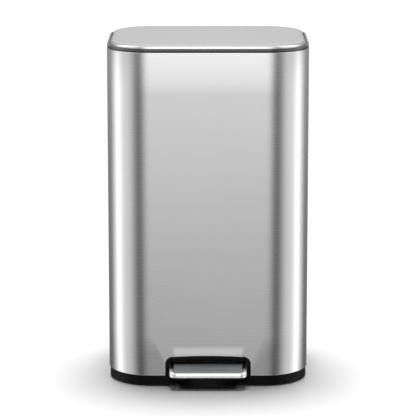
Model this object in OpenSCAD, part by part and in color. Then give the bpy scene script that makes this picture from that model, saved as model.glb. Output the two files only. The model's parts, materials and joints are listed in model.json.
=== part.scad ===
// Rectangular pedal bin, 50 litre class: a brushed steel body on a plastic base, a hinged soft-close lid,
// a foot pedal that works it through a lever and a push rod, and a removable inner bucket.
// Millimetres. +Z is up and the front faces -Y. The origin is on the floor, under the middle of the whole bin.

/* [Body] */
// Width of the steel body
body_w = 390; // [370:5:420]
// Depth of the steel body, front to back
body_d = 320; // [305:5:340]
// Corner radius of the body in plan
corner_r = 86; // [76:2:92]
// Height of the steel body's top edge above the floor
shell_top = 653; // [603:5:703]
// Thickness of the steel sheet
shell_t = 0.8; // [0.6:0.1:1.2]
// Height of the steel body's bottom edge, where the plastic base shows below it
shell_bottom = 21; // [20:1:24]

/* [Lid] */
// Angle that the lid opens to, in degrees
lid_open = 75; // [65:1:78]
// Height of the plastic lid frame's rim
lid_rim_h = 5; // [4.5:0.5:7]
// Height of the steel lid panel's top above the rim
panel_rise = 6.5; // [6:0.5:10]
// Inset of the steel lid panel from the body's outline
panel_inset = 6.5; // [6:0.5:8]

/* [Pedal] */
// Width of the pedal
pedal_w = 150; // [130:2:150]
// How far the pedal stands out in front of the body
pedal_reach = 34; // [30:1:38]
// How far the pedal's front edge goes down
pedal_travel = 19; // [16:0.5:19.5]

/* [Bucket] */
// Free height between the bucket and the closed lid
bucket_gap = 11.5; // [8:0.5:20]
// Wall thickness of the bucket
bucket_t = 2.2; // [1.8:0.1:3]

/* [Hidden] */
$fn = 64;
eps = 0.1;

hw = body_w / 2;
hd = body_d / 2;

// Steel body details
hem_w = 4;
hem_t = 1.6;
flange_w = 14;
flange_t = 1;

// Base moulding
base_inset = 2;
base_z0 = 1.5;
base_wall = 3;
ledge_top = shell_bottom - 0.2;
upstand_inset = 16;
deck_top = 70;
deck_t = 3;
tongue_t = 5;
tongue_reach = 22;
foot_r = 10;
foot_h = 4.5;
foot_x = hw - 58;
foot_y = hd - 48;

// Pedal opening in the body
portal_half = 83;
portal_top = 61;
portal_band = 7;
portal_r = 14;
portal_arch_r = 1225;

// Collar and mouth
collar_inset = 1.2;
collar_top = shell_top + 1.8;
rear_deck = 31;
front_deck = 11;
side_deck = 16;
mouth_w = body_w - 2 * side_deck;
mouth_d = body_d - front_deck - rear_deck;
mouth_y = (front_deck - rear_deck) / 2;
mouth_r = corner_r - 11;

// Hinge and lid
hinge_y = hd + 9.5;
hinge_z = shell_top + 6;
pin_r = 2.5;
knuckle_r = 4.2;
lid_z0 = shell_top + 2.5;
lid_plate_t = 2;
rim_inset = 0.5;
rim_land = 4.5;
rim_top = lid_z0 + lid_rim_h;
panel_top = rim_top + panel_rise;
panel_z0 = lid_z0 + lid_plate_t + 0.2;
panel_t = 0.8;
panel_edge_r = 6.5;
liner_z0 = shell_top - 2.5;
leaf_z0 = lid_z0 + 0.1;
leaf_t = 1.8;
leaf_y0 = hd - 43;
leaf_half = 45;

// Linkage: the rod runs crank_reach in front of the hinge. Its top pin starts below the hinge
// and ends the same height above it.
crank_reach = 21;
crank_t = 3;
crank_rise = crank_reach * tan(lid_open / 2);
rod_r = 2.5;
rod_pin_r = 2;
rod_x = -8;
rod_y = hinge_y - crank_reach;
rod_top_z = hinge_z - crank_rise;
slot_slack = 1.15;
eye_slack = 1;

// Lever: its two arms share the pedal's travel and the rod's lift
tip_y = -hd - pedal_reach;
rear_arm = (rod_y - tip_y) * 2 * crank_rise / (2 * crank_rise + pedal_travel);
pivot_y = rod_y - rear_arm;
pivot_z = 42;
rod_bottom_z = pivot_z - crank_rise;
shaft_r = 4;
shaft_half = 52;
ear_x0 = 38;
ear_x1 = 46;
eye_r = 6;
lever_tube_r = 6.5;
tail_half_t = 1.5;

// Pedal
pedal_top = 47;
pedal_lip = 26;
pedal_bottom = 22.5;
lever_seat = 33.5;
lever_nose = 14;
pedal_t = 1.2;
pedal_r = 14;
pedal_len = 82;
pedal_slope_end = 40;
pedal_step_z = pedal_top - 8;

// Damper beside the rod
damper_x = 26;
damper_r = 8;
damper_z0 = 300;
damper_h = 92;
bridge_z = 250;
bridge_h = 8;

// Hinge bracket and its cover
bracket_y = hd + 0.1;
bracket_t = 2;
bracket_half = 62;
bracket_z0 = shell_top - 46;
bracket_z1 = shell_top - 4;
bracket_screw_x = 28;
bracket_screw_z = [shell_top - 38, shell_top - 16];
cover_half = 70;
cover_y1 = hd + 24;
cover_z0 = shell_top - 64;
cover_z1 = shell_top - 4;
cover_t = 2.2;
cover_screw_x = 54;
cover_screw_z = shell_top - 28;

// Bucket
bucket_z0 = deck_top + 0.4;
bucket_z1 = liner_z0 - bucket_gap;
bucket_w1 = mouth_w - 14;
bucket_d1 = mouth_d - 14;
bucket_w0 = bucket_w1 - 28;
bucket_d0 = bucket_d1 - 24;
bucket_r1 = mouth_r - 5;
bucket_r0 = bucket_r1 - 10;
grip_l = 90;
grip_h = 24;
grip_z = bucket_z1 - 40;

// The pedal stands out further in front than the cover does behind, so the body sits this far back
body_y = (pedal_reach - (cover_y1 - hd)) / 2;

// ---- shared shapes ----

// A rectangle with round corners, centred
module round_rect(w, d, r) {
    square([w - 2 * r, d], center = true);
    square([w, d - 2 * r], center = true);
    for (x = [-1, 1], y = [-1, 1])
        translate([x * (w / 2 - r), y * (d / 2 - r)]) circle(r);
}

// The body's outline, taken in by inset
module outline(inset) {
    round_rect(body_w - 2 * inset, body_d - 2 * inset, corner_r - inset);
}

// A wall that follows the body's outline between two insets
module band(outer, inner, z0, z1) {
    translate([0, 0, z0]) linear_extrude(z1 - z0) difference() {
        outline(outer);
        outline(inner);
    }
}

module slab(inset, z0, z1) {
    translate([0, 0, z0]) linear_extrude(z1 - z0) outline(inset);
}

// The bin's mouth, made larger by grow
module mouth(grow, z0, z1) {
    translate([0, mouth_y, z0]) linear_extrude(z1 - z0)
        round_rect(mouth_w + 2 * grow, mouth_d + 2 * grow, mouth_r + grow);
}

// The pedal opening seen from the front, with its gently arched top
module portal_face(half, top, r, z0) {
    intersection() {
        union() {
            translate([-half, z0]) square([2 * half, top - r - z0]);
            translate([-half + r, z0]) square([2 * (half - r), top - z0]);
            for (x = [-1, 1]) translate([x * (half - r), top - r]) circle(r);
        }
        translate([0, top - portal_arch_r]) circle(portal_arch_r, $fn = 256);
    }
}

// The same opening, run from y0 back to y1
module portal(half, top, r, z0, y0, y1) {
    translate([0, y1, 0]) rotate([90, 0, 0]) linear_extrude(y1 - y0) portal_face(half, top, r, z0);
}

// A round-ended strip between two points
module strip(a, b, r) {
    d = b - a;
    translate(a) circle(r);
    translate(b) circle(r);
    translate(a) rotate(atan2(d[1], d[0])) translate([0, -r]) square([norm(d), 2 * r]);
}

// Turns a shape drawn in Y and Z into a plate from x0 to x1
module side_plate(x0, x1) {
    translate([x0, 0, 0]) rotate([90, 0, 90]) linear_extrude(x1 - x0) children();
}

module rod_x_axis(r, x0, x1, y, z) {
    translate([x0, y, z]) rotate([0, 90, 0]) cylinder(r = r, h = x1 - x0);
}

module rod_y_axis(r, x, y0, y1, z) {
    translate([x, y1, z]) rotate([90, 0, 0]) cylinder(r = r, h = y1 - y0);
}

module rod_z_axis(r, x, y, z0, z1) {
    translate([x, y, z0]) cylinder(r = r, h = z1 - z0);
}

module box(x0, x1, y0, y1, z0, z1) {
    translate([x0, y0, z0]) cube([x1 - x0, y1 - y0, z1 - z0]);
}

// Both sides of the bin's middle plane
module both_sides() {
    children();
    mirror([1, 0, 0]) children();
}

// Where the base screws go up into the body's bottom flange
module base_screw_places() {
    for (x = [-1, 1], y = [-1, 1]) {
        translate([x * (hw - 10.5), y * (hd - corner_r - 20), 0]) children();
        translate([x * (hw - corner_r - 5), y * (hd - 10.5), 0]) children();
    }
}

module foot_places() {
    for (x = [-1, 1], y = [-1, 1]) translate([x * foot_x, y * foot_y, 0]) children();
}

module bumper_places() {
    for (x = [-1, 1]) {
        translate([x * (hw - corner_r + 10), -hd + 6.2, 0]) children();
        translate([x * (hw - corner_r + 10), hd - 14, 0]) children();
    }
}

module bracket_screw_places() {
    for (x = [-1, 1], z = bracket_screw_z) translate([x * bracket_screw_x, 0, z]) children();
}

// ---- body ----

module outer_shell() {
    color("silver") difference() {
        union() {
            band(0, shell_t, shell_bottom, shell_top);
            band(0, hem_w, shell_top - hem_t, shell_top);
            band(0, flange_w, shell_bottom, shell_bottom + flange_t);
        }
        portal(portal_half - 3, portal_top - 3, portal_r - 2, shell_bottom - 1, -hd - 1, -hd + 20);
        box(-4, 4, hd - 6, hd + 1, shell_top - 24, shell_top + 1);
        box(rod_x - 8, -rod_x + 4, hd - flange_w - 1, hd - shell_t - 0.1, shell_bottom - 1, shell_bottom + 2);
        bracket_screw_places() rod_y_axis(2.2, 0, hd - 3, hd + 1, 0);
        base_screw_places() rod_z_axis(2.1, 0, 0, shell_bottom - 1, shell_bottom + 2);
    }
}

module pivot_ears() {
    both_sides() {
        side_plate(ear_x0, ear_x1) {
            translate([pivot_y, pivot_z]) circle(12);
            translate([pivot_y - 12, pivot_z]) square([24, deck_top - deck_t - pivot_z + eps]);
        }
    }
}

module base_ribs() {
    both_sides() {
        box(93, 95.5, -hd + upstand_inset + 1, hd - upstand_inset - 1, 44, deck_top - deck_t + eps);
        box(shaft_half + 3, hw - upstand_inset - 1, pivot_y - 1.25, pivot_y + 1.25, 44, deck_top - deck_t + eps);
        box(22, hw - upstand_inset - 1, 60, 62.5, 48, deck_top - deck_t + eps);
    }
    foot_places() rod_z_axis(foot_r + 2, 0, 0, foot_h - 1.5, deck_top - deck_t + eps);
}

module tongue() {
    y0 = -hd - tongue_reach;
    translate([0, 0, base_z0]) linear_extrude(tongue_t)
        polygon([[-61, -hd + 8], [-56, y0 + 4], [-52, y0], [52, y0], [56, y0 + 4], [61, -hd + 8]]);
    box(-90, 90, -hd + base_inset + base_wall - 0.5, -hd + upstand_inset + base_wall, base_z0, base_z0 + tongue_t);
}

module base() {
    skirt_inner = base_inset + base_wall;
    color([0.1, 0.1, 0.11]) {
        difference() {
            union() {
                difference() {
                    union() {
                        band(base_inset, skirt_inner, base_z0, ledge_top);
                        band(base_inset, upstand_inset + base_wall, ledge_top - base_wall, ledge_top);
                        band(upstand_inset, upstand_inset + base_wall, ledge_top - base_wall, deck_top);
                        slab(upstand_inset, deck_top - deck_t, deck_top);
                    }
                    portal(portal_half + 0.4, portal_top + 0.4, portal_r, -1, -hd - 1, -hd + upstand_inset - 0.5);
                    portal(pedal_w / 2 + 3, 56, 6, -1, -hd + upstand_inset - 1, -hd + upstand_inset + 8);
                }
                pivot_ears();
                base_ribs();
                tongue();
            }
            box(rod_x - 8, -rod_x + 4, hd - upstand_inset - 6, hd - skirt_inner, -1, deck_top - deck_t - 1);
            rod_x_axis(6.05, -60, 60, pivot_y, pivot_z);
            foot_places() rod_z_axis(foot_r + 0.1, 0, 0, -1, foot_h);
            base_screw_places() rod_z_axis(2.1, 0, 0, ledge_top - base_wall - 1, ledge_top + 1);
        }
    }
}

module pedal_bezel() {
    inner = portal_half - portal_band;
    sleeve = portal_half - 3.4;
    color([0.08, 0.08, 0.09]) difference() {
        union() {
            portal(portal_half, portal_top, portal_r, base_z0, -hd - 2, -hd - eps);
            portal(sleeve, portal_top - 3.4, portal_r - 3, base_z0 + tongue_t + 0.5, -hd - eps - 0.01, -hd + 14);
        }
        portal(inner, portal_top - 8.3, portal_r - 6, -1, -hd - 3, -hd + 15);
    }
}

module rubber_feet() {
    color([0.15, 0.15, 0.15]) foot_places() difference() {
        rod_z_axis(foot_r, 0, 0, 0, foot_h);
        rod_z_axis(3, 0, 0, -1, 1);
    }
}

module toe_pad() {
    color([0.15, 0.15, 0.15]) box(-45, 45, -hd - tongue_reach + 5, -hd - tongue_reach + 17, 0, base_z0);
}

module base_screws() {
    z = ledge_top - base_wall;
    color("gray") base_screw_places() {
        rod_z_axis(2, 0, 0, z - 0.5, shell_bottom + 5);
        difference() {
            rod_z_axis(3.8, 0, 0, z - 2.6, z);
            box(-2.6, 2.6, -0.4, 0.4, z - 3, z - 1.4);
            box(-0.4, 0.4, -2.6, 2.6, z - 3, z - 1.4);
        }
    }
}

module top_collar() {
    skirt_z0 = shell_top - 30;
    color([0.16, 0.16, 0.17]) difference() {
        union() {
            slab(collar_inset, shell_top, collar_top);
            slab(5.5, shell_top - 1, shell_top + eps);
            band(5.5, 8, skirt_z0, shell_top);
            mouth(2.5, shell_top - 22, shell_top + eps);
        }
        mouth(0, shell_top - 40, collar_top + 1);
        box(rod_x - 5, -rod_x + 1, hd - rear_deck - 6, hd + 1, shell_top - 40, collar_top + 1);
        bumper_places() rod_z_axis(3.6, 0, 0, collar_top - 1.2, collar_top + 1);
        bracket_screw_places() rod_y_axis(2.2, 0, hd - 14, hd, 0);
    }
}

module lid_bumpers() {
    color([0.2, 0.2, 0.2]) bumper_places() rod_z_axis(3.5, 0, 0, collar_top - 1.2, lid_z0 - 0.3);
}

// ---- pedal pivot ----

module pedal_shaft() {
    color("lightgray") difference() {
        rod_x_axis(shaft_r, -shaft_half, shaft_half, pivot_y, pivot_z);
        both_sides() difference() {
            rod_x_axis(shaft_r + 1, shaft_half - 3, shaft_half - 1.9, pivot_y, pivot_z);
            rod_x_axis(shaft_r - 1, shaft_half - 4, shaft_half, pivot_y, pivot_z);
        }
    }
}

module shaft_bushes() {
    color("ivory") both_sides() difference() {
        union() {
            rod_x_axis(6, ear_x0, ear_x1 + 1.6, pivot_y, pivot_z);
            rod_x_axis(8.5, ear_x1 + 0.05, ear_x1 + 1.6, pivot_y, pivot_z);
        }
        rod_x_axis(shaft_r + 0.05, ear_x0 - 1, ear_x1 + 3, pivot_y, pivot_z);
    }
}

module shaft_clips() {
    color("dimgray") both_sides() difference() {
        rod_x_axis(7, shaft_half - 2.95, shaft_half - 1.95, pivot_y, pivot_z);
        rod_x_axis(shaft_r - 0.95, shaft_half - 4, shaft_half, pivot_y, pivot_z);
        box(shaft_half - 4, shaft_half, pivot_y - 2.4, pivot_y + 2.4, pivot_z - 9, pivot_z);
    }
}

// ---- rod guides and damper ----

module rod_guides() {
    color([0.12, 0.12, 0.12]) for (z = [130, 330, shell_top - 120]) difference() {
        union() {
            box(rod_x - 6, rod_x + 6, rod_y, hd - shell_t, z, z + 14);
            rod_z_axis(6, rod_x, rod_y, z, z + 14);
            box(rod_x - 14, rod_x + 12, hd - shell_t - 2, hd - shell_t, z - 4, z + 18);
        }
        rod_z_axis(rod_r + 0.1, rod_x, rod_y, z - 1, z + 15);
    }
}

module damper_body() {
    color([0.75, 0.76, 0.78]) difference() {
        union() {
            rod_z_axis(damper_r, damper_x, rod_y, damper_z0, damper_z0 + damper_h);
            rod_z_axis(3, damper_x, rod_y, damper_z0 + damper_h - eps, damper_z0 + damper_h + 5);
        }
        rod_z_axis(6.5, damper_x, rod_y, damper_z0 + 6, damper_z0 + damper_h - 6);
        rod_z_axis(2.1, damper_x, rod_y, damper_z0 - 1, damper_z0 + 7);
    }
}

module damper_clips() {
    color([0.12, 0.12, 0.12]) for (z = [damper_z0 + 14, damper_z0 + damper_h - 26]) difference() {
        union() {
            rod_z_axis(damper_r + 2.4, damper_x, rod_y, z, z + 12);
            box(damper_x - 7, damper_x + 7, rod_y, hd - shell_t, z, z + 12);
            box(damper_x - 10, damper_x + 14, hd - shell_t - 2, hd - shell_t, z - 3, z + 15);
        }
        rod_z_axis(damper_r + 0.05, damper_x, rod_y, z - 4, z + 16);
        box(damper_x - 6, damper_x + 6, rod_y - 12, rod_y - 4, z - 1, z + 13);
    }
}

// ---- hinge ----

module hinge_bracket() {
    color([0.1, 0.1, 0.1]) difference() {
        union() {
            box(-bracket_half, bracket_half, bracket_y, bracket_y + bracket_t, bracket_z0, bracket_z1);
            both_sides() {
                box(42, 60, bracket_y, hinge_y - 4, bracket_z1 - 12, hinge_z);
                rod_x_axis(knuckle_r, 42, 60, hinge_y, hinge_z);
                side_plate(42, 60) polygon([
                    [bracket_y, bracket_z1 - 20], [hinge_y + 4, hinge_z - 4],
                    [hinge_y - 5, hinge_z], [bracket_y, hinge_z]
                ]);
            }
        }
        box(-8, 8, hd - 1, hinge_y + 10, shell_top - 28, hinge_z + 10);
        rod_x_axis(pin_r + 0.01, -70, 70, hinge_y, hinge_z);
        bracket_screw_places() rod_y_axis(2.1, 0, hd - 1, hd + 4, 0);
        both_sides() rod_y_axis(1.6, cover_screw_x, hd - 1, hd + 4, cover_screw_z);
    }
}

module bracket_screws() {
    color("gray") bracket_screw_places() {
        rod_y_axis(2, 0, hd - 5.5, bracket_y + bracket_t + 0.5, 0);
        difference() {
            rod_y_axis(3.8, 0, bracket_y + bracket_t, bracket_y + bracket_t + 2.4, 0);
            box(-2.6, 2.6, bracket_y + bracket_t + 1.2, bracket_y + bracket_t + 3, -0.4, 0.4);
            box(-0.4, 0.4, bracket_y + bracket_t + 1.2, bracket_y + bracket_t + 3, -2.6, 2.6);
        }
    }
}

module bracket_nuts() {
    color("gray") bracket_screw_places() difference() {
        translate([0, hd - shell_t - 0.05, 0]) rotate([90, 0, 0]) cylinder(r = 4, h = 3, $fn = 6);
        rod_y_axis(2.05, 0, hd - 8, hd, 0);
    }
}

module hinge_pin() {
    color("lightgray") difference() {
        rod_x_axis(pin_r, -66, 66, hinge_y, hinge_z);
        both_sides() difference() {
            rod_x_axis(pin_r + 1, 62.5, 63.5, hinge_y, hinge_z);
            rod_x_axis(pin_r - 0.7, 62, 64, hinge_y, hinge_z);
        }
    }
}

module hinge_pin_clips() {
    color("dimgray") both_sides() difference() {
        rod_x_axis(4.1, 62.55, 63.45, hinge_y, hinge_z);
        rod_x_axis(pin_r - 0.65, 62, 64, hinge_y, hinge_z);
        box(62, 64, hinge_y - 1.5, hinge_y + 1.5, hinge_z - 6, hinge_z);
    }
}

// A box on the back of the body, rounded in plan
module cover_block(half, y1, r, z0, z1) {
    translate([0, 0, z0]) linear_extrude(z1 - z0) intersection() {
        translate([0, bracket_y]) round_rect(2 * half, 2 * (y1 - bracket_y), r);
        translate([-half, bracket_y]) square([2 * half, y1 - bracket_y]);
    }
}

module hinge_cover() {
    shelf_z = cover_z0 + 18;
    skin = cover_t;
    color([0.1, 0.1, 0.11]) difference() {
        union() {
            difference() {
                cover_block(cover_half, cover_y1, 14, cover_z0, cover_z1);
                cover_block(cover_half - skin, cover_y1 - skin, 14 - skin, shelf_z + skin, cover_z1 - skin);
                cover_block(cover_half - skin, cover_y1 - skin, 14 - skin, cover_z0 - 1, shelf_z);
            }
            both_sides() rod_y_axis(4, cover_screw_x, bracket_y + bracket_t + 0.1, cover_y1 - eps, cover_screw_z);
        }
        box(-8, 8, hd, hinge_y + 1, cover_z1 - 6, cover_z1 + 1);
        box(-bracket_half - 0.4, bracket_half + 0.4, hd, bracket_y + bracket_t + 0.1, bracket_z0 - 0.4, cover_z1 + 1);
        both_sides() box(41.6, 60.4, hd, hinge_y + 2.5, cover_z1 - 4, cover_z1 + 1);
        both_sides() {
            rod_y_axis(1.6, cover_screw_x, hd, cover_y1 + 1, cover_screw_z);
            rod_y_axis(3.2, cover_screw_x, cover_y1 - 2, cover_y1 + 1, cover_screw_z);
        }
    }
}

module cover_screws() {
    color("gray") both_sides() {
        rod_y_axis(1.5, cover_screw_x, bracket_y - 0.05, cover_y1 - 1.5, cover_screw_z);
        difference() {
            rod_y_axis(3, cover_screw_x, cover_y1 - 2, cover_y1 - 0.3, cover_screw_z);
            translate([cover_screw_x, 0, cover_screw_z]) {
                box(-2, 2, cover_y1 - 1.2, cover_y1, -0.35, 0.35);
                box(-0.35, 0.35, cover_y1 - 1.2, cover_y1, -2, 2);
            }
        }
    }
}

// ---- lid ----

module leaf_screw_places() {
    for (x = [-38, -20, 20, 38]) translate([x, leaf_y0 + 6, 0]) children();
}

module liner_screw_places() {
    for (x = [-1, 1]) {
        translate([x * (hw - 60), -hd + 60, 0]) children();
        translate([x * (hw - 60), hd - 90, 0]) children();
    }
    for (y = [-hd + 34, hd - 62]) translate([0, y, 0]) children();
}

// A shallow tray upside down, its top edge rounded to radius r
module pillow(inset, z0, z1, r) {
    w = body_w - 2 * inset;
    d = body_d - 2 * inset;
    cr = corner_r - inset;
    translate([0, 0, z0]) linear_extrude(z1 - r - z0) round_rect(w, d, cr);
    translate([0, 0, z0]) linear_extrude(z1 - z0) round_rect(w - 2 * r, d - 2 * r, cr - r);
    for (x = [-1, 1]) intersection() {
        translate([x * (w / 2 - r), d / 2 - cr, z1 - r]) rotate([90, 0, 0]) cylinder(r = r, h = d - 2 * cr);
        box(-w, w, -d, d, z1 - r, z1);
    }
    for (y = [-1, 1]) intersection() {
        translate([-w / 2 + cr, y * (d / 2 - r), z1 - r]) rotate([0, 90, 0]) cylinder(r = r, h = w - 2 * cr);
        box(-w, w, -d, d, z1 - r, z1);
    }
    for (x = [0, 1], y = [0, 1]) mirror([x, 0, 0]) mirror([0, y, 0])
        translate([w / 2 - cr, d / 2 - cr, z1 - r]) rotate_extrude(angle = 90) translate([cr - r, 0]) intersection() {
            circle(r);
            square(r + 1);
        }
}

module lid_panel() {
    color("gainsboro") difference() {
        pillow(panel_inset, panel_z0, panel_top, panel_edge_r);
        slab(panel_inset + panel_t, panel_z0 - 1, panel_top - panel_edge_r);
        slab(panel_inset + panel_edge_r, panel_z0 - 1, panel_top - panel_t);
    }
}

module lid_frame() {
    plate_top = lid_z0 + lid_plate_t;
    color([0.22, 0.22, 0.23]) difference() {
        union() {
            slab(rim_inset, lid_z0, plate_top);
            band(rim_inset, rim_inset + rim_land, lid_z0, rim_top);
            box(-leaf_half - 5, leaf_half + 5, leaf_y0 - 5, hd - 8, lid_z0, plate_top + 2);
        }
        box(-leaf_half - 1, leaf_half + 1, leaf_y0 - 1, hd + 1, lid_z0 - 1, plate_top);
        leaf_screw_places() rod_z_axis(1.55, 0, 0, lid_z0 - 1, plate_top + 3);
        liner_screw_places() rod_z_axis(1.55, 0, 0, lid_z0 - 1, plate_top + 1);
        box(-2.2, 2.2, hd - 9, hd + 1, lid_z0, plate_top + 2.4);
    }
}

module lid_liner() {
    color([0.3, 0.3, 0.31]) difference() {
        translate([0, mouth_y - 7, liner_z0]) linear_extrude(lid_z0 - liner_z0)
            round_rect(mouth_w - 8, mouth_d - 22, mouth_r - 6);
        translate([0, mouth_y - 7, liner_z0 + 2]) linear_extrude(20)
            round_rect(mouth_w - 12, mouth_d - 26, mouth_r - 8);
        liner_screw_places() {
            rod_z_axis(1.6, 0, 0, liner_z0 - 1, lid_z0 + 1);
            rod_z_axis(3.1, 0, 0, liner_z0 - 1, liner_z0 + 1);
        }
    }
}

module lid_hinge_leaf() {
    color("gray") difference() {
        union() {
            box(-leaf_half, leaf_half, leaf_y0, hd - 8, leaf_z0, leaf_z0 + leaf_t);
            both_sides() {
                box(14, 40, leaf_y0, hinge_y, leaf_z0, leaf_z0 + leaf_t);
                rod_x_axis(knuckle_r, 14, 40, hinge_y, hinge_z);
            }
        }
        rod_x_axis(pin_r + 0.06, -70, 70, hinge_y, hinge_z);
        leaf_screw_places() rod_z_axis(1.6, 0, 0, leaf_z0 - 1, leaf_z0 + leaf_t + 1);
    }
}

module lid_crank() {
    axis = [hinge_y, hinge_z];
    along = [-cos(lid_open / 2), -sin(lid_open / 2)];
    slot_in = axis + along * (crank_reach - 0.6);
    slot_out = axis + along * (crank_reach / cos(lid_open / 2) + 0.8);
    color("darkgray") difference() {
        union() {
            side_plate(-crank_t / 2, crank_t / 2) strip(axis, slot_in, 5);
            side_plate(-crank_t / 2, crank_t / 2) strip(slot_in, slot_out, 6);
            side_plate(-crank_t / 2, crank_t / 2)
                polygon([[leaf_y0 + 12, leaf_z0], [hd - 8, leaf_z0], axis + along * 14, slot_out]);
        }
        rod_x_axis(pin_r + 0.08, -crank_t, crank_t, hinge_y, hinge_z);
        side_plate(-crank_t, crank_t) strip(slot_in, slot_out, rod_pin_r + slot_slack);
    }
}

module leaf_screws() {
    color("gray") leaf_screw_places() {
        rod_z_axis(1.5, 0, 0, leaf_z0 - 0.5, lid_z0 + lid_plate_t + 1.9);
        difference() {
            rod_z_axis(2.9, 0, 0, leaf_z0 - 1.7, leaf_z0);
            box(-2, 2, -0.35, 0.35, leaf_z0 - 2, leaf_z0 - 1);
            box(-0.35, 0.35, -2, 2, leaf_z0 - 2, leaf_z0 - 1);
        }
    }
}

module liner_screws() {
    color("gray") liner_screw_places() {
        rod_z_axis(1.5, 0, 0, liner_z0 + 0.5, lid_z0 + lid_plate_t - 0.1);
        difference() {
            rod_z_axis(2.9, 0, 0, liner_z0 - 0.6, liner_z0 + 1);
            box(-2, 2, -0.35, 0.35, liner_z0 - 1, liner_z0);
            box(-0.35, 0.35, -2, 2, liner_z0 - 1, liner_z0);
        }
    }
}

// ---- pedal ----

module pedal_plan(inset, z0, z1) {
    translate([0, tip_y + pedal_len / 2, z0]) linear_extrude(z1 - z0)
        round_rect(pedal_w - 2 * inset, pedal_len - 2 * inset, pedal_r - inset);
}

module pedal_screw_places() {
    for (x = [-20, 20], y = [24, 60]) translate([x, tip_y + y, 0]) children();
}

// Everything below the pedal's top, lowered by drop: a rounded front edge, two slopes, then level
module pedal_slope(drop) {
    back_y = tip_y + pedal_len + 1;
    edge_z = pedal_step_z - 4.5;
    side_plate(-hw, hw) polygon([
        [tip_y - 1, 0], [tip_y - 1, edge_z - 4.5 - drop], [tip_y + 1, edge_z - 1.5 - drop], [tip_y + 3, edge_z - drop],
        [tip_y + pedal_slope_end / 2, pedal_step_z - drop], [tip_y + pedal_slope_end, pedal_top - drop],
        [back_y, pedal_top - drop], [back_y, 0]
    ]);
}

module pedal_plate() {
    color("whitesmoke") difference() {
        intersection() {
            pedal_plan(0, pedal_lip, pedal_top + 1);
            pedal_slope(0);
        }
        intersection() {
            pedal_plan(pedal_t, pedal_lip - 1, pedal_top + 1);
            pedal_slope(pedal_t);
        }
        box(-30.4, 30.4, tip_y + pedal_len - 4, tip_y + pedal_len + 1, 0, lever_seat + 5);
    }
}

module pedal_core() {
    color([0.1, 0.1, 0.1]) difference() {
        intersection() {
            union() {
                pedal_plan(pedal_t + 0.1, pedal_lip + 1, pedal_top);
                intersection() {
                    pedal_plan(pedal_t + 0.1, pedal_bottom, pedal_top);
                    box(-hw, hw, tip_y, tip_y + 5.5, 0, 60);
                }
            }
            pedal_slope(pedal_t + 0.1);
        }
        box(-30.1, 30.1, tip_y + lever_nose - 0.1, tip_y + pedal_len, 0, lever_seat + 0.1);
        box(-30.1, 30.1, tip_y + pedal_len - 5, tip_y + pedal_len, 0, lever_seat + 4);
        pedal_screw_places() rod_z_axis(1.55, 0, 0, lever_seat - 6, lever_seat + 0.8);
    }
}

// The lever seen from above: full width at the pedal, tapering to the rod
module lever_plan(half, tail_half, y0, y1) {
    linear_extrude(80) polygon([
        [-half, y0], [half, y0], [half, pivot_y + 60], [tail_half, rod_y - 34], [tail_half, y1],
        [-tail_half, y1], [-tail_half, rod_y - 34], [-half, pivot_y + 60]
    ]);
}

// The lever's top line seen from the side, lowered by drop
function lever_top(drop) = [
    [rod_y - 20, rod_bottom_z + 7.5 - drop], [rod_y - 42, rod_bottom_z + 8 - drop], [pivot_y + 12, 51 - drop],
    [pivot_y - 12, 51 - drop], [tip_y + pedal_len, lever_seat - drop], [tip_y + lever_nose, lever_seat - drop]
];

module pedal_lever() {
    bottom = [
        [tip_y + lever_nose, lever_seat - 7], [tip_y + pedal_len, lever_seat - 7], [pivot_y - 12, 33], [pivot_y + 12, 33],
        [rod_y - 42, rod_bottom_z - 6], [rod_y - 20, rod_bottom_z - 4]
    ];
    hollow = concat([[rod_y, 0], [rod_y, rod_bottom_z + 5.5]], lever_top(2), [[tip_y, lever_seat - 2], [tip_y, 0]]);
    color("slategray") difference() {
        intersection() {
            side_plate(-40, 40) polygon(concat(lever_top(0), bottom));
            lever_plan(30, 9, tip_y, rod_y);
        }
        intersection() {
            side_plate(-40, 40) polygon(hollow);
            lever_plan(28, 7, tip_y - 1, rod_y + 1);
        }
        rod_x_axis(lever_tube_r + 0.05, -60, 60, pivot_y, pivot_z);
        pedal_screw_places() rod_z_axis(1.6, 0, 0, lever_seat - 6, lever_seat + 6);
    }
}

module lever_tube() {
    color("slategray") difference() {
        rod_x_axis(lever_tube_r, -36, 36, pivot_y, pivot_z);
        rod_x_axis(shaft_r + 0.1, -60, 60, pivot_y, pivot_z);
    }
}

module lever_tail() {
    color("slategray") difference() {
        union() {
            rod_x_axis(eye_r, -tail_half_t, tail_half_t, rod_y, rod_bottom_z);
            side_plate(-tail_half_t, tail_half_t) polygon([
                [rod_y - 64, rod_bottom_z - 3], [rod_y - 64, rod_bottom_z + 6],
                [rod_y - 1, rod_bottom_z + 4.4], [rod_y - 1, rod_bottom_z - 4.4]
            ]);
        }
        rod_x_axis(rod_pin_r + eye_slack, -eye_r, eye_r, rod_y, rod_bottom_z);
    }
}

module pedal_screws() {
    color("gray") pedal_screw_places() {
        rod_z_axis(1.5, 0, 0, lever_seat - 2.3, lever_seat + 0.7);
        rod_z_axis(2.9, 0, 0, lever_seat - 3.6, lever_seat - 2);
    }
}

// ---- push rod ----

module push_rod() {
    color("lightgray") {
        rod_z_axis(rod_r, rod_x, rod_y, rod_bottom_z, rod_top_z);
        for (z = [rod_bottom_z, rod_top_z]) {
            translate([rod_x, rod_y, z]) sphere(rod_r);
            rod_x_axis(rod_pin_r, rod_x, 5.5, rod_y, z);
        }
    }
}

module rod_clips() {
    color("dimgray") for (z = [rod_bottom_z, rod_top_z]) difference() {
        rod_x_axis(4.5, 3, 4, rod_y, z);
        rod_x_axis(rod_pin_r + 0.02, 2, 5, rod_y, z);
    }
}

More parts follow.
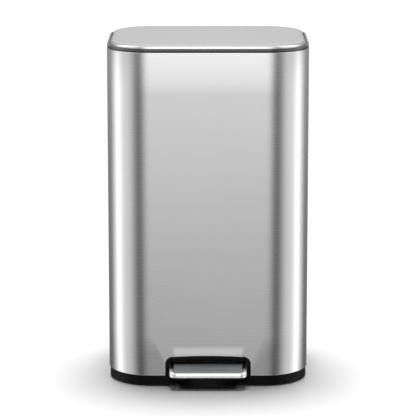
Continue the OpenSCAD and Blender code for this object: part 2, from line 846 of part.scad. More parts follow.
module rod_bridge() {
    color([0.12, 0.12, 0.12]) difference() {
        union() {
            box(rod_x, damper_x, rod_y - 5, rod_y + 5, bridge_z, bridge_z + bridge_h);
            rod_z_axis(5, rod_x, rod_y, bridge_z, bridge_z + bridge_h);
            rod_z_axis(5, damper_x, rod_y, bridge_z, bridge_z + bridge_h);
        }
        rod_z_axis(rod_r + 0.02, rod_x, rod_y, bridge_z - 1, bridge_z + bridge_h + 1);
        rod_z_axis(2.02, damper_x, rod_y, bridge_z - 1, bridge_z + bridge_h + 1);
    }
}

module damper_piston() {
    color("lightgray") {
        rod_z_axis(2, damper_x, rod_y, bridge_z, damper_z0 + 16);
        rod_z_axis(6.42, damper_x, rod_y, damper_z0 + 10, damper_z0 + 16);
    }
}

// ---- bucket ----

module bucket_slice(w, d, r, z) {
    translate([0, mouth_y, z]) linear_extrude(0.01) round_rect(w, d, r, $fn = 48);
}

module bucket_body(inset, z0, z1) {
    hull() {
        bucket_slice(bucket_w0 - 2 * inset, bucket_d0 - 2 * inset, bucket_r0 - inset, z0);
        bucket_slice(bucket_w1 - 2 * inset, bucket_d1 - 2 * inset, bucket_r1 - inset, z1 - 0.01);
    }
}

module inner_bucket() {
    color([0.2, 0.2, 0.21]) difference() {
        union() {
            bucket_body(0, bucket_z0, bucket_z1);
            translate([0, mouth_y, bucket_z1 - 3]) linear_extrude(3)
                round_rect(bucket_w1 + 6, bucket_d1 + 6, bucket_r1 + 3);
        }
        bucket_body(bucket_t, bucket_z0 + 2.6, bucket_z1 + 0.01);
        box(-hw, hw, mouth_y - grip_l / 2, mouth_y + grip_l / 2, grip_z, grip_z + grip_h);
    }
}

// ---- assembly ----

module placed() {
    translate([0, body_y, 0]) children();
}

placed() outer_shell();
placed() base();
placed() pedal_bezel();
placed() rubber_feet();
placed() toe_pad();
placed() base_screws();
placed() top_collar();
placed() lid_bumpers();
placed() pedal_shaft();
placed() shaft_bushes();
placed() shaft_clips();
placed() rod_guides();
placed() damper_body();
placed() damper_clips();
placed() hinge_bracket();
placed() bracket_screws();
placed() bracket_nuts();
placed() hinge_pin();
placed() hinge_pin_clips();
placed() hinge_cover();
placed() cover_screws();
placed() lid_panel();
placed() lid_frame();
placed() lid_liner();
placed() lid_hinge_leaf();
placed() lid_crank();
placed() leaf_screws();
placed() liner_screws();
placed() pedal_plate();
placed() pedal_core();
placed() pedal_lever();
placed() lever_tube();
placed() lever_tail();
placed() pedal_screws();
placed() push_rod();
placed() rod_clips();
placed() rod_bridge();
placed() damper_piston();
placed() inner_bucket();
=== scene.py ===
"""The looks of the pedal bin: detailed pieces over the CAD frame, a white studio and the camera."""

import json
import math

import bmesh
import bpy
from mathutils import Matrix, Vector


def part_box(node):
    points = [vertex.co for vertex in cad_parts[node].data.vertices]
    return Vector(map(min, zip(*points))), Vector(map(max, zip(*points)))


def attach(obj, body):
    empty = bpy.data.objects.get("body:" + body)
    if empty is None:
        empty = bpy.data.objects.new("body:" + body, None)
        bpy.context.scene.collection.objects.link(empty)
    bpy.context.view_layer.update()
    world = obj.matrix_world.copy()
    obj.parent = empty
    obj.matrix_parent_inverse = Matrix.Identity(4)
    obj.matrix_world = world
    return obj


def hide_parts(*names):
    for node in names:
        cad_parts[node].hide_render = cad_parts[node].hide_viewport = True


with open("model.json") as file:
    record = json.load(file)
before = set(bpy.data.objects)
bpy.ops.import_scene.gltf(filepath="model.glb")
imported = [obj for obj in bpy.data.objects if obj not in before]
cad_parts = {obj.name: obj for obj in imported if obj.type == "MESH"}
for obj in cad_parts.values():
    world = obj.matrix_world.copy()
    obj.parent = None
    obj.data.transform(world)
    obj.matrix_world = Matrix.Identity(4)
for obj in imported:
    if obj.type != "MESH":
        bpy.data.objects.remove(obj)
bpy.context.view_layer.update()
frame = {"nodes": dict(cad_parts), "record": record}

MM = 0.001

# ---- places taken from the frame ----

shell_lo, shell_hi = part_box("outer_shell")
bezel_lo, bezel_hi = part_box("pedal_bezel")
panel_lo, panel_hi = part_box("lid_panel")
rim_lo, rim_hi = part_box("lid_frame")
liner_lo, liner_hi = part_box("lid_liner")
pedal_lo, pedal_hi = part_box("pedal_plate")
cover_lo, cover_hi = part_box("hinge_cover")
bucket_lo, bucket_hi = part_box("inner_bucket")

BODY_W = shell_hi.x - shell_lo.x
BODY_D = shell_hi.y - shell_lo.y
BODY_Y = (shell_hi.y + shell_lo.y) / 2
CORNER_R = 0.2205 * BODY_W
SHEET = 0.8 * MM

# ---- mesh helpers ----


def rounded_ring(width, depth, radius, z, centre_y=BODY_Y, steps=20):
    """The points of a rectangle with round corners, anticlockwise from above."""
    points = []
    for corner, (sx, sy) in enumerate([(1, 1), (-1, 1), (-1, -1), (1, -1)]):
        cx = sx * (width / 2 - radius)
        cy = centre_y + sy * (depth / 2 - radius)
        for step in range(steps + 1):
            angle = math.radians(90 * (corner + step / steps))
            points.append(Vector((cx + radius * math.cos(angle), cy + radius * math.sin(angle), z)))
    return points


def inset_ring(inset, z):
    """The body's outline taken in by inset."""
    return rounded_ring(BODY_W - 2 * inset, BODY_D - 2 * inset, CORNER_R - inset, z)


def new_object(name, bm):
    mesh = bpy.data.meshes.new(name)
    bmesh.ops.recalc_face_normals(bm, faces=bm.faces)
    bm.to_mesh(mesh)
    bm.free()
    obj = bpy.data.objects.new(name, mesh)
    bpy.context.scene.collection.objects.link(obj)
    return obj


def loft(name, rings, closed=False, capped=True):
    """A skin through rings of equal length. Its ends are capped, left open, or joined if closed."""
    bm = bmesh.new()
    rows = [[bm.verts.new(p) for p in ring] for ring in rings]
    pairs = list(zip(rows, rows[1:]))
    if closed:
        pairs.append((rows[-1], rows[0]))
    for low, high in pairs:
        for i in range(len(low)):
            j = (i + 1) % len(low)
            bm.faces.new((low[i], low[j], high[j], high[i]))
    if capped and not closed:
        bm.faces.new(rows[0])
        bm.faces.new(rows[-1])
    return new_object(name, bm)


def prism(name, outline, along, depth):
    """A closed outline of points, pushed along a direction by depth."""
    push = Vector(along) * depth
    return loft(name, [outline, [p + push for p in outline]])


def grid(name, rows):
    """An open skin through rows of points, all of the same length."""
    bm = bmesh.new()
    rows = [[bm.verts.new(p) for p in row] for row in rows]
    for near, far in zip(rows, rows[1:]):
        for i in range(len(near) - 1):
            bm.faces.new((near[i], near[i + 1], far[i + 1], far[i]))
    return new_object(name, bm)


def apply_modifiers(obj):
    bpy.context.view_layer.update()
    evaluated = obj.evaluated_get(bpy.context.evaluated_depsgraph_get())
    mesh = bpy.data.meshes.new_from_object(evaluated)
    obj.modifiers.clear()
    obj.data = mesh


def thicken(obj, thickness, offset=-1):
    """Turns an open skin into a sheet, on its back face, or on both for offset 0."""
    modifier = obj.modifiers.new("sheet", "SOLIDIFY")
    modifier.thickness = thickness
    modifier.offset = offset
    apply_modifiers(obj)
    return obj


def cut(obj, *cutters):
    """Takes the cutters out of obj and removes them."""
    for cutter in cutters:
        modifier = obj.modifiers.new("cut", "BOOLEAN")
        modifier.object = cutter
        modifier.operation = "DIFFERENCE"
        modifier.solver = "EXACT"
        apply_modifiers(obj)
        bpy.data.objects.remove(cutter)


def soften(obj, width=0.0, segments=2, angle=32):
    """Rounds the sharp edges, then shades the rest smoothly."""
    if width > 0:
        modifier = obj.modifiers.new("soften", "BEVEL")
        modifier.width = width
        modifier.segments = segments
        modifier.limit_method = "ANGLE"
        modifier.angle_limit = math.radians(angle)
        modifier.harden_normals = True
        apply_modifiers(obj)
    obj.data.shade_smooth()
    obj.data.set_sharp_from_angle(angle=math.radians(angle))
    return obj


def block(name, low, high):
    """A box from corner to corner."""
    ring = [Vector((low[0], low[1], low[2])), Vector((high[0], low[1], low[2]))]
    ring += [Vector((high[0], high[1], low[2])), Vector((low[0], high[1], low[2]))]
    return prism(name, ring, (0, 0, 1), high[2] - low[2])


def place(obj, material, body, slot, *nodes):
    """Gives the piece its material and its body, and hides the nodes it stands for."""
    obj.data.materials.clear()
    obj.data.materials.append(material)
    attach(obj, body)
    if nodes:
        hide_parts(*nodes)


# ---- materials ----


class Shader:
    """One node material, with the few nodes that all of them share."""

    def __init__(self, name, color, metallic, roughness):
        self.material = bpy.data.materials.new(name)
        self.material.use_nodes = True
        self.nodes = self.material.node_tree.nodes
        self.links = self.material.node_tree.links
        self.bsdf = self.nodes["Principled BSDF"]
        self.bsdf.inputs["Base Color"].default_value = (*color, 1)
        self.bsdf.inputs["Metallic"].default_value = metallic
        self.bsdf.inputs["Roughness"].default_value = roughness
        self.place = self.nodes.new("ShaderNodeTexCoord").outputs["Object"]

    def noise(self, scale, detail, stretch=(1, 1, 1)):
        mapping = self.nodes.new("ShaderNodeMapping")
        mapping.inputs["Scale"].default_value = stretch
        self.links.new(self.place, mapping.inputs["Vector"])
        noise = self.nodes.new("ShaderNodeTexNoise")
        noise.inputs["Scale"].default_value = scale
        noise.inputs["Detail"].default_value = detail
        self.links.new(mapping.outputs["Vector"], noise.inputs["Vector"])
        return noise.outputs["Fac"]

    def spread(self, value, low, high):
        """A noise from 0.3 to 0.7 becomes a value from low to high."""
        span = self.nodes.new("ShaderNodeMapRange")
        span.inputs["From Min"].default_value = 0.3
        span.inputs["From Max"].default_value = 0.7
        span.inputs["To Min"].default_value = low
        span.inputs["To Max"].default_value = high
        self.links.new(value, span.inputs["Value"])
        return span.outputs["Result"]

    def tint(self, value, dark, light):
        mix = self.nodes.new("ShaderNodeMix")
        mix.data_type = "RGBA"
        mix.inputs["A"].default_value = (*dark, 1)
        mix.inputs["B"].default_value = (*light, 1)
        self.links.new(value, mix.inputs["Factor"])
        self.links.new(mix.outputs["Result"], self.bsdf.inputs["Base Color"])

    def bump(self, value, distance, strength=1.0):
        bump = self.nodes.new("ShaderNodeBump")
        bump.inputs["Distance"].default_value = distance
        bump.inputs["Strength"].default_value = strength
        self.links.new(value, bump.inputs["Height"])
        self.links.new(bump.outputs["Normal"], self.bsdf.inputs["Normal"])


def brushed_steel(name, tone, roughness, grain):
    """Satin sheet with a fine grain; grain stretches the pattern across the brushing direction."""
    s = Shader(name, (tone, tone, tone), 1.0, roughness)
    lines = s.noise(1.0, 3, grain)
    clouds = s.noise(5.0, 3)
    s.links.new(s.spread(lines, roughness - 0.005, roughness + 0.005), s.bsdf.inputs["Roughness"])
    s.tint(s.spread(clouds, 0, 1), (tone - 0.015,) * 3, (tone + 0.01, tone + 0.012, tone + 0.012))
    s.bump(lines, 0.00000006)
    return s.material


def plastic(name, color, roughness, grain_depth=0.00003, grain_scale=900, shine=0.5):
    """Moulded plastic with a fine spark-eroded grain and slightly rubbed patches."""
    s = Shader(name, color, 0.0, roughness)
    s.bsdf.inputs["Specular IOR Level"].default_value = shine
    grain = s.noise(grain_scale, 3)
    patches = s.noise(14.0, 3)
    s.links.new(s.spread(patches, roughness - 0.05, roughness + 0.05), s.bsdf.inputs["Roughness"])
    s.tint(s.spread(patches, 0, 1), tuple(c * 0.9 for c in color), tuple(c * 1.12 for c in color))
    s.bump(grain, grain_depth, 0.6)
    return s.material


def plated(name, color, roughness, metallic=1.0):
    """Plated or turned metal with faint mottling."""
    s = Shader(name, color, metallic, roughness)
    mottle = s.noise(90.0, 4)
    s.links.new(s.spread(mottle, roughness - 0.02, roughness + 0.02), s.bsdf.inputs["Roughness"])
    s.tint(s.spread(mottle, 0, 1), tuple(c * 0.95 for c in color), color)
    s.bump(s.noise(700.0, 3), 0.000001, 0.5)
    return s.material


SHELL_STEEL = brushed_steel("shell_steel", 0.72, 0.27, (4, 4, 3400))
LID_STEEL = brushed_steel("lid_steel", 0.74, 0.3, (4, 3400, 3400))
PEDAL_STEEL = plated("pedal_steel", (0.92, 0.92, 0.93), 0.26, 0.6)
TRAY_STEEL = plated("pedal_tray_steel", (0.5, 0.53, 0.55), 0.42, 0.4)
BASE_PLASTIC = plastic("base_plastic", (0.0035, 0.0035, 0.004), 0.5, shine=0.1)
LID_PLASTIC = plastic("lid_plastic", (0.07, 0.071, 0.074), 0.24, shine=0.8)
LINER_PLASTIC = plastic("liner_plastic", (0.13, 0.13, 0.135), 0.5)
BUCKET_PLASTIC = plastic("bucket_plastic", (0.05, 0.05, 0.053), 0.45)
RUBBER = plastic("rubber", (0.02, 0.02, 0.02), 0.8, 0.00006, 500)
NYLON = plastic("nylon", (0.72, 0.7, 0.63), 0.45)
ZINC_STEEL = plated("zinc_steel", (0.55, 0.55, 0.56), 0.38)
BLACK_STEEL = plated("black_steel", (0.03, 0.03, 0.032), 0.45, 0.0)
BRIGHT_STEEL = plated("bright_steel", (0.75, 0.75, 0.76), 0.18)
SPRING_STEEL = plated("spring_steel", (0.16, 0.16, 0.17), 0.35)
DAMPER_ALUMINIUM = plated("damper_aluminium", (0.76, 0.77, 0.78), 0.3)

FINISHES = {
    "shell_steel": SHELL_STEEL,
    "pedal_steel": PEDAL_STEEL,
    "base_plastic": BASE_PLASTIC,
    "lid_plastic": LID_PLASTIC,
    "liner_plastic": LINER_PLASTIC,
    "bucket_plastic": BUCKET_PLASTIC,
    "rubber": RUBBER,
    "nylon": NYLON,
    "zinc_steel": ZINC_STEEL,
    "black_steel": BLACK_STEEL,
    "bright_steel": BRIGHT_STEEL,
    "spring_steel": SPRING_STEEL,
    "damper_aluminium": DAMPER_ALUMINIUM,
}


def paint_cad_nodes():
    """Gives every CAD node the finish that its record names."""
    slots = {entry["node"]: entry["material_slot"] for entry in frame["record"]["subparts"]}
    for node, obj in frame["nodes"].items():
        material = FINISHES[slots[node]]
        if not obj.data.materials:
            obj.data.materials.append(material)
        for index in range(len(obj.data.materials)):
            obj.data.materials[index] = material


# ---- steel body ----

OPENING_HALF = (bezel_hi.x - bezel_lo.x) / 2
OPENING_TOP = bezel_hi.z
HEM_R = 1.0 * MM


def portal_outline(half, top, radius, y, bottom):
    """The pedal opening's outline seen from the front, its top very slightly arched."""
    crown = 2.2 * MM
    points = [Vector((half, y, bottom))]
    steps = 10
    for side in (1, -1):
        for step in range(steps + 1):
            turn = step / steps if side == 1 else 1 - step / steps
            angle = math.radians(90 * turn)
            x = half - radius + radius * math.cos(angle)
            z = top - crown - radius + radius * math.sin(angle)
            points.append(Vector((side * x, y, z)))
        if side == 1:
            for step in range(1, 12):
                across = 1 - step / 6
                x = across * (half - radius)
                points.append(Vector((x, y, top - crown * across * across)))
    points.append(Vector((-half, y, bottom)))
    return points


def build_shell():
    """The steel sheet with its bottom flange, rolled hem and pedal opening, and the seam on its back."""
    bottom = shell_lo.z
    top = shell_hi.z
    front = shell_lo.y
    back = shell_hi.y
    flange = 14 * MM
    hem_w = 4 * MM
    hem_t = 1.6 * MM
    seam_half = 0.7 * MM
    rings = [inset_ring(flange, bottom + SHEET), inset_ring(flange, bottom)]
    for step in range(5):
        angle = math.radians(90 * step / 4)
        inset = HEM_R * (1 - math.sin(angle))
        rings.append(inset_ring(inset, bottom + HEM_R * (1 - math.cos(angle))))
    for part in range(1, 8):
        rings.append(inset_ring(0, bottom + HEM_R + (top - bottom - 2 * HEM_R) * part / 8))
    for step in range(5):
        angle = math.radians(90 * step / 4)
        inset = HEM_R * (1 - math.cos(angle))
        rings.append(inset_ring(inset, top - HEM_R + HEM_R * math.sin(angle)))
    rings.append(inset_ring(hem_w, top))
    rings.append(inset_ring(hem_w, top - hem_t))
    rings.append(inset_ring(SHEET, top - hem_t))
    rings.append(inset_ring(SHEET, bottom + SHEET))
    shell = loft("steel_body", rings, closed=True)
    lap = 3 * MM
    hole = portal_outline(OPENING_HALF - lap, OPENING_TOP - lap, 12 * MM, front - 10 * MM, bottom - 5 * MM)
    cut(
        shell,
        prism("hole", hole, (0, 1, 0), 30 * MM),
        block("notch", (-4 * MM, back - 6 * MM, top - 24 * MM), (4 * MM, back + 2 * MM, top + 2 * MM)),
    )
    place(soften(shell), SHELL_STEEL, "cabinet", "shell_steel", "outer_shell")
    seam = block(
        "rear_seam",
        (-seam_half, back - 0.2 * MM, bottom + 3 * MM),
        (seam_half, back + 0.15 * MM, top - 70 * MM),
    )
    place(soften(seam, 0.1 * MM), SHELL_STEEL, "cabinet", "shell_steel")


def build_flare():
    """The shallow swelling that is pressed into the sheet above the pedal opening, fading upward."""
    half = OPENING_HALF - 13 * MM
    bottom = OPENING_TOP - 2.5 * MM
    height = 22 * MM
    depth = 0.55 * MM
    roll = 3.5 * MM
    face_y = shell_lo.y - 0.03 * MM
    columns = 80
    lines = 16
    rows = []
    for j in range(lines + 1):
        up = j / lines
        row = []
        for i in range(columns + 1):
            x = half * (2 * i / columns - 1)
            side = min(1.0, (half - abs(x)) / roll)
            swell = side * side * (3 - 2 * side) * (1 - up * up * (3 - 2 * up))
            row.append((x, face_y - depth * swell, bottom + height * up))
        rows.append(row)
    flare = thicken(grid("pedal_opening_flare", rows), 0.02 * MM, 0)
    place(soften(flare, angle=60), SHELL_STEEL, "cabinet", "shell_steel")


# ---- lid ----


def build_lid_panel():
    """A pressed steel cushion: its edge rolls over, and its top is very slightly crowned."""
    top = panel_hi.z
    inset = 6.5 * MM
    edge = 6.9 * MM
    crown = 0.6 * MM
    crown_run = 60 * MM
    under_run = 45 * MM
    steps = 10
    rings = [
        [p - Vector((0, 0, SHEET)) for p in inset_ring(inset + edge + under_run, top)],
        [p - Vector((0, 0, SHEET)) for p in inset_ring(inset + edge, top - crown)],
        inset_ring(inset + SHEET, top - crown - edge),
        inset_ring(inset + SHEET, panel_lo.z),
        inset_ring(inset, panel_lo.z),
    ]
    for step in range(steps + 1):
        angle = math.radians(90 * step / steps)
        run = edge * (1 - math.cos(angle))
        rings.append(inset_ring(inset + run, top - crown - edge + edge * math.sin(angle)))
    for part in (0.25, 0.5, 0.75):
        rings.append(inset_ring(inset + edge + part * crown_run, top - crown * (1 - part) ** 2))
    panel = loft("lid_top_panel", rings)
    place(soften(panel, angle=50), LID_STEEL, "lid", "shell_steel", "lid_panel")


def rounded_profile(points, radius, steps=4):
    """Rounds each corner of an (inset, z) profile."""
    smooth = []
    for i, corner in enumerate(points):
        before = Vector(points[i - 1])
        here = Vector(corner)
        after = Vector(points[(i + 1) % len(points)])
        reach = min(radius, (before - here).length / 2.2, (after - here).length / 2.2)
        start = here + (before - here).normalized() * reach
        end = here + (after - here).normalized() * reach
        for step in range(steps + 1):
            t = step / steps
            smooth.append(start * (1 - t) ** 2 + here * 2 * t * (1 - t) + end * t * t)
    return smooth


def build_lid_frame():
    """The dark rim round the lid and the plate inside it, with room for the hinge's leaf below."""
    rim_in = 4.7 * MM
    rim_out = 0.5 * MM
    plate_in = 60 * MM
    low = rim_lo.z
    top = rim_hi.z
    floor = low + 2 * MM
    gap = 1 * MM
    leaf_lo, leaf_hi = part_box("lid_hinge_leaf")
    section = [(rim_out, low), (rim_out, top), (rim_in, top)]
    section += [(rim_in, floor), (plate_in, floor), (plate_in, low)]
    rim = loft("lid_rim", [inset_ring(p.x, p.y) for p in rounded_profile(section, 0.9 * MM)], closed=True)
    cut(
        rim,
        block(
            "leaf_room",
            (leaf_lo.x - gap, leaf_lo.y - gap, low - gap),
            (leaf_hi.x + gap, rim_hi.y + gap, floor - 0.1 * MM),
        ),
    )
    place(soften(rim, angle=40), LID_PLASTIC, "lid", "lid_plastic", "lid_frame")


# ---- pedal opening and pedal ----


def build_bezel():
    """The black frame in front of the steel, and the sleeve that lines the opening behind it."""
    band = 7 * MM
    top_band = 8.3 * MM
    lap = 3.4 * MM
    front = bezel_lo.y
    low = bezel_lo.z
    face = portal_outline(OPENING_HALF, OPENING_TOP, 14 * MM, front, low)
    lining = portal_outline(OPENING_HALF - lap, OPENING_TOP - lap, 11 * MM, front + 1.95 * MM, low + 5.5 * MM)
    hole = portal_outline(OPENING_HALF - band, OPENING_TOP - top_band, 8 * MM, front - 5 * MM, -10 * MM)
    rim = prism("pedal_frame", face, (0, 1, 0), 1.9 * MM)
    sleeve = prism("pedal_frame_sleeve", lining, (0, 1, 0), 14 * MM)
    for obj in (rim, sleeve):
        cut(obj, prism("hole", hole, (0, 1, 0), 40 * MM))
    place(soften(rim, 0.7 * MM, 3, 50), BASE_PLASTIC, "cabinet", "base_plastic", "pedal_bezel")
    place(soften(sleeve, 0.3 * MM, 2, 50), BASE_PLASTIC, "cabinet", "base_plastic")


# The pedal's top, close to the CAD's: millimetres behind its tip, and above the bottom of its plate.
PEDAL_RISE = [(0.0, 5.5), (3.0, 8.5), (20.0, 13.0), (30.0, 17.0), (40.0, 20.7), (47.0, 21.0), (200.0, 21.0)]
PEDAL_EDGE = 8.5 * MM
PEDAL_SHEET = 0.15 * MM


def pedal_height(run):
    """Height of the pedal's top above the bottom of its plate, at a run behind its tip."""
    for (x0, z0), (x1, z1) in zip(PEDAL_RISE, PEDAL_RISE[1:]):
        if run <= x1 * MM:
            t = (run / MM - x0) / (x1 - x0)
            return (z0 + t * (z1 - z0)) * MM
    return PEDAL_RISE[-1][1] * MM


def pedal_ring(side, front, drop, flat=None):
    """The pedal's outline taken in at the sides and front, drop below its top, or flat above its bottom."""
    tip = pedal_lo.y
    depth = pedal_hi.y - (tip + front)
    width = pedal_hi.x - pedal_lo.x - 2 * side
    ring = rounded_ring(width, depth, 14 * MM - side * 0.8, 0, tip + front + depth / 2, 16)
    for point in ring:
        run = max(point.y - tip, 3 * MM)
        point.z = pedal_lo.z + (max(PEDAL_EDGE, pedal_height(run)) - drop if flat is None else flat)
    return ring


def build_pedal_rim():
    """The bright rim: a level skirt, then (side, front, drop) rings that roll over the top to the tray."""
    rolled = [(0.1, 0.2, 3.4), (0.7, 0.8, 1.7), (1.7, 2.0, 0.5), (3.0, 3.4, 0)]
    rolled += [(4.6, 5.0, 0), (5.8, 6.2, 0.5), (7.6, 8.0, 1.0), (8.8, 9.2, 1.15)]
    rings = [pedal_ring(1.2 * MM, 1.2 * MM, 0, 0), pedal_ring(0, 0, 0, 0), pedal_ring(0, 0, 0, 3.5 * MM)]
    rings += [pedal_ring(side * MM, front * MM, drop * MM) for side, front, drop in rolled]
    rim = thicken(loft("pedal_rim", rings, capped=False), PEDAL_SHEET)
    place(soften(rim, angle=60), PEDAL_STEEL, "pedal", "pedal_steel", "pedal_plate")


def build_pedal_tray():
    """The grey tray inside the rim, its front corners rounded, which slopes up to the back."""
    tip = pedal_lo.y
    start = tip + 9 * MM
    length = pedal_hi.y - 10 * MM - start
    half = (pedal_hi.x - pedal_lo.x) / 2 - 8.6 * MM
    corner = 7 * MM
    tray_drop = 1.1 * MM
    across = 24
    along = 36
    rows = []
    for j in range(along + 1):
        run = length * j / along
        y = start + run
        short = max(corner - run, 0)
        squeeze = corner - math.sqrt(corner**2 - short**2)
        z = pedal_lo.z + max(PEDAL_EDGE, pedal_height(y - tip)) - tray_drop
        rows.append([((half - squeeze) * (2 * i / across - 1), y, z) for i in range(across + 1)])
    tray = thicken(grid("pedal_tray", rows), PEDAL_SHEET)
    place(soften(tray, angle=50), TRAY_STEEL, "pedal", "pedal_steel")


# ---- inside and back ----


def build_bucket():
    """A tapered bucket with a rolled rim, a rounded foot and a hand-hold through each side wall."""
    low = bucket_lo.z
    top = bucket_hi.z
    height = top - low
    rim = 3 * MM
    wall = 2.2 * MM
    grip_x = 120 * MM
    grip_reach = 70 * MM
    grip_half = 45 * MM
    grip_z = top - 40 * MM
    grip_h = 24 * MM
    centre_y = (bucket_lo.y + bucket_hi.y) / 2
    top_w = bucket_hi.x - bucket_lo.x - 2 * rim
    top_d = bucket_hi.y - bucket_lo.y - 2 * rim

    def bucket_ring(grow, z):
        taper = (top - z) / height
        width = top_w - 28 * MM * taper + 2 * grow
        depth = top_d - 24 * MM * taper + 2 * grow
        return rounded_ring(width, depth, (70 - 10 * taper) * MM + grow, z, centre_y, 14)

    foot = [(-9, 0), (-5, 0.6), (-2.2, 2), (-0.6, 4.6), (0, 8)]
    lip = [(0, 9), (0.6, 6.5), (2.4, 5.4), (3, 4.4), (3, 1.2), (2.2, 0.3), (0.6, 0), (-0.8, 0.4), (-2.2, 2.4)]
    inner_foot = [(-2.4, 10), (-4, 6.4), (-7, 4), (-11, 3.2)]
    rings = [bucket_ring(grow * MM, low + rise * MM) for grow, rise in foot]
    rings += [bucket_ring(0, low + height * part / 6) for part in range(1, 6)]
    rings += [bucket_ring(grow * MM, top - drop * MM) for grow, drop in lip]
    rings += [bucket_ring(-wall, low + height * part / 6) for part in range(5, 0, -1)]
    rings += [bucket_ring(grow * MM, low + rise * MM) for grow, rise in inner_foot]
    bucket = loft("inner_bucket_shell", rings)
    grips = [
        block(
            "grip",
            (side * grip_x - grip_reach, centre_y - grip_half, grip_z),
            (side * grip_x + grip_reach, centre_y + grip_half, grip_z + grip_h),
        )
        for side in (-1, 1)
    ]
    for grip in grips:
        soften(grip, 9 * MM, 5)
    cut(bucket, *grips)
    place(soften(bucket, angle=45), BUCKET_PLASTIC, "bucket", "bucket_plastic", "inner_bucket")


def build_liner():
    """The lid's inner pan: soft edges, a border that stands out and three shallow ribs from back to front."""
    low = liner_lo.z
    centre_y = (liner_lo.y + liner_hi.y) / 2
    width = liner_hi.x - liner_lo.x
    depth = liner_hi.y - liner_lo.y
    corner = 69 * MM
    rib_gap = 70 * MM
    rib_half_w = 2.5 * MM
    rib_half_l = 80 * MM

    def pan_ring(inset, z):
        return rounded_ring(width - 2 * inset, depth - 2 * inset, corner - inset, z, centre_y, 16)

    profile = [(2, 5), (0, 5), (0, 2.2), (0.5, 1), (1.4, 0.3), (2.8, 0)]
    profile += [(16, 0), (17.2, 0.3), (18.4, 1.2), (20, 1.5)]
    pan = loft("lid_inner_pan", [pan_ring(inset * MM, low + rise * MM) for inset, rise in profile])
    place(soften(pan, angle=40), LINER_PLASTIC, "lid", "liner_plastic", "lid_liner")
    for number in (1, 2, 3):
        rib_x = (number - 2) * rib_gap
        rib = block(
            f"lid_pan_rib_{number}",
            (rib_x - rib_half_w, centre_y - rib_half_l, low + 0.5 * MM),
            (rib_x + rib_half_w, centre_y + rib_half_l, low + 1.6 * MM),
        )
        place(soften(rib, 0.8 * MM, 3), LINER_PLASTIC, "lid", "liner_plastic")


def cover_outline(half, back, radius, z):
    """A box on the body's back, its two outer corners rounded, seen from above."""
    front = cover_lo.y
    points = [Vector((-half, front, z)), Vector((half, front, z))]
    for side, turns in ((1, range(9)), (-1, range(8, -1, -1))):
        for turn in turns:
            angle = math.radians(90 * turn / 8)
            x = half - radius + radius * math.cos(angle)
            points.append(Vector((side * x, back - radius + radius * math.sin(angle), z)))
    return points


def build_cover():
    """The rear cover: soft edges, a finger room below and the hinge's room above."""
    half = cover_hi.x
    back = cover_hi.y
    front = cover_lo.y
    low = cover_lo.z
    top = cover_hi.z
    skin = 2.2 * MM
    gap = 0.4 * MM
    shelf = low + 18 * MM
    head_r = 3.2 * MM
    screw_x = 54 * MM
    screw_z = (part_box("cover_screws")[0].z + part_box("cover_screws")[1].z) / 2
    arms_lo, arms_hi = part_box("hinge_bracket")
    cover = prism("rear_cover", cover_outline(half, back, 14 * MM, low), (0, 0, 1), top - low)
    soften(cover, 1.6 * MM, 4, 40)
    inner = (half - skin, back - skin, 11.8 * MM)
    upper = prism("upper", cover_outline(*inner, shelf + skin), (0, 0, 1), top - shelf - 2 * skin)
    under = prism("under", cover_outline(*inner, low - skin), (0, 0, 1), shelf - low + skin)
    plate = block(
        "plate",
        (arms_lo.x - gap, front - skin, arms_lo.z - gap),
        (arms_hi.x + gap, front + 2.1 * MM, top + skin),
    )
    slots = [
        block(
            "slot",
            (middle - width, front - skin, top - 6 * MM),
            (middle + width, front + 11.9 * MM, top + skin),
        )
        for middle, width in ((0.0, 8 * MM), (51 * MM, 9.4 * MM), (-51 * MM, 9.4 * MM))
    ]
    holes = [
        block(
            "screw_hole",
            (side * screw_x - head_r, back - 2.1 * MM, screw_z - head_r),
            (side * screw_x + head_r, back + 1 * MM, screw_z + head_r),
        )
        for side in (-1, 1)
    ]
    for hole in holes:
        soften(hole, 1.9 * MM, 4)
    cut(cover, upper, under, plate, *slots, *holes)
    place(soften(cover, angle=40), BASE_PLASTIC, "cabinet", "base_plastic", "hinge_cover")


build_shell()
build_bucket()
build_liner()
build_cover()
build_lid_panel()
build_lid_frame()
build_bezel()
build_pedal_rim()
build_pedal_tray()
build_flare()
paint_cad_nodes()

# ---- floor, light and camera ----

BACKDROP = (1.0, 1.0, 1.0)

# Brightness by direction. The first number is the share of the half turn from the front to the back.
AHEAD = [(0.0, 1.0), (0.06, 1.0), (0.16, 0.12), (0.24, 0.14)]
AHEAD += [(0.3, 0.3), (0.6, 0.16), (0.85, 0.2), (1.0, 0.3)]
BESIDE = [(0.2, 0.0), (0.33, 0.34), (0.44, 0.4), (0.545, 1.0)]
BESIDE += [(0.62, 0.42), (0.72, 0.05), (0.85, 0.04), (1.0, 0.2)]

# Brightness by height. The first number is 0 straight down, 0.5 level and 1 straight up.
AHEAD_RISE = [(0.0, 0.5), (0.25, 0.36), (0.345, 0.13), (0.362, 0.16), (0.38, 0.27), (0.395, 0.46)]
AHEAD_RISE += [(0.41, 0.72), (0.425, 0.95), (0.44, 1.08), (0.6, 1.0), (0.68, 1.8), (0.9, 1.8), (1.0, 1.0)]
BESIDE_RISE = [(0.45, 1.0), (0.485, 0.55), (0.6, 0.55), (0.7, 1.0)]

AHEAD_LEVEL = 1.25
BESIDE_LEVEL = 1.9
SCATTERED_LOSS = 0.9


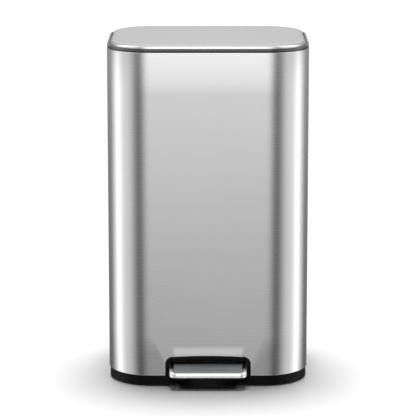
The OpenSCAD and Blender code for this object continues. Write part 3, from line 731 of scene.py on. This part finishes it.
def build_floor():
    """White paper, larger than any view shows. The metal doesn't mirror it."""
    half = 30.0
    bm = bmesh.new()
    corners = [(-half, -half), (half, -half), (half, half), (-half, half)]
    bm.faces.new([bm.verts.new((x, y, -0.0002)) for x, y in corners])
    floor = new_object("floor", bm)
    s = Shader("floor_paper", (0.9, 0.9, 0.9), 0.0, 0.9)
    s.tint(s.spread(s.noise(3.0, 2), 0, 1), (0.89, 0.89, 0.89), (0.9, 0.9, 0.9))
    floor.data.materials.append(s.material)
    floor.visible_glossy = False


def build_studio():
    """A sky of soft panels: strips at both sides, a gradient in front. The camera sees plain white."""
    world = bpy.data.worlds.new("studio")
    bpy.context.scene.world = world
    world.use_nodes = True
    nodes = world.node_tree.nodes
    links = world.node_tree.links
    nodes.clear()

    def math_node(operation, a, b=None):
        node = nodes.new("ShaderNodeMath")
        node.operation = operation
        for socket, value in zip(node.inputs, (a, b)):
            if value is None:
                continue
            if isinstance(value, (int, float)):
                socket.default_value = value
            else:
                links.new(value, socket)
        return node.outputs["Value"]

    def ramp(value, stops):
        node = nodes.new("ShaderNodeValToRGB")
        elements = node.color_ramp.elements
        while len(elements) < len(stops):
            elements.new(0.5)
        for element, (position, level) in zip(elements, stops):
            element.position = position
            element.color = (level, level, level, 1)
        links.new(value, node.inputs["Fac"])
        return node.outputs["Color"]

    direction = nodes.new("ShaderNodeTexCoord").outputs["Generated"]
    split = nodes.new("ShaderNodeSeparateXYZ")
    links.new(direction, split.inputs["Vector"])
    turn = math_node("ARCTAN2", split.outputs["X"], math_node("MULTIPLY", split.outputs["Y"], -1.0))
    azimuth = math_node("DIVIDE", math_node("ABSOLUTE", turn), math.pi)
    height = math_node("ADD", math_node("MULTIPLY", split.outputs["Z"], 0.5), 0.5)
    ahead = math_node("MULTIPLY", ramp(azimuth, AHEAD), ramp(height, AHEAD_RISE))
    beside = math_node("MULTIPLY", ramp(azimuth, BESIDE), ramp(height, BESIDE_RISE))
    ahead = math_node("MULTIPLY", ahead, AHEAD_LEVEL)
    beside = math_node("MULTIPLY", beside, BESIDE_LEVEL)
    level = math_node("ADD", ahead, beside)
    light_path = nodes.new("ShaderNodeLightPath")
    scattered = math_node("MINIMUM", light_path.outputs["Diffuse Depth"], 1.0)
    dimmed = math_node("MULTIPLY", scattered, -SCATTERED_LOSS)
    level = math_node("MULTIPLY", level, math_node("ADD", dimmed, 1.0))
    background = nodes.new("ShaderNodeBackground")
    mix = nodes.new("ShaderNodeMix")
    mix.data_type = "FLOAT"
    links.new(light_path.outputs["Is Camera Ray"], mix.inputs["Factor"])
    links.new(level, mix.inputs["A"])
    mix.inputs["B"].default_value = 1.0
    links.new(mix.outputs["Result"], background.inputs["Strength"])
    background.inputs["Color"].default_value = (*BACKDROP, 1)
    output = nodes.new("ShaderNodeOutputWorld")
    links.new(background.outputs["Background"], output.inputs["Surface"])


def add_daylight():
    """A broad light from above, a little behind. It casts the soft shadow, and metal doesn't mirror it."""
    light = bpy.data.lights.new("overhead", "SUN")
    light.energy = 3.5
    light.angle = math.radians(25)
    obj = bpy.data.objects.new("overhead", light)
    bpy.context.scene.collection.objects.link(obj)
    obj.rotation_euler = (math.radians(-8.5), 0, 0)
    obj.visible_glossy = False


def build_camera():
    """The camera stands about eleven body widths in front, a little under two body heights up."""
    distance = 4.345
    height = 1.225
    pitch = 11.74
    camera = bpy.data.cameras.new("camera")
    camera.sensor_width = 36
    camera.lens = 193.4
    camera.clip_end = 100
    obj = bpy.data.objects.new("camera", camera)
    bpy.context.scene.collection.objects.link(obj)
    obj.location = (0, -distance, height)
    obj.rotation_euler = (math.radians(90 - pitch), 0, 0)
    bpy.context.scene.camera = obj


build_floor()
build_studio()
add_daylight()
build_camera()
bpy.context.scene.view_settings.view_transform = "Standard"
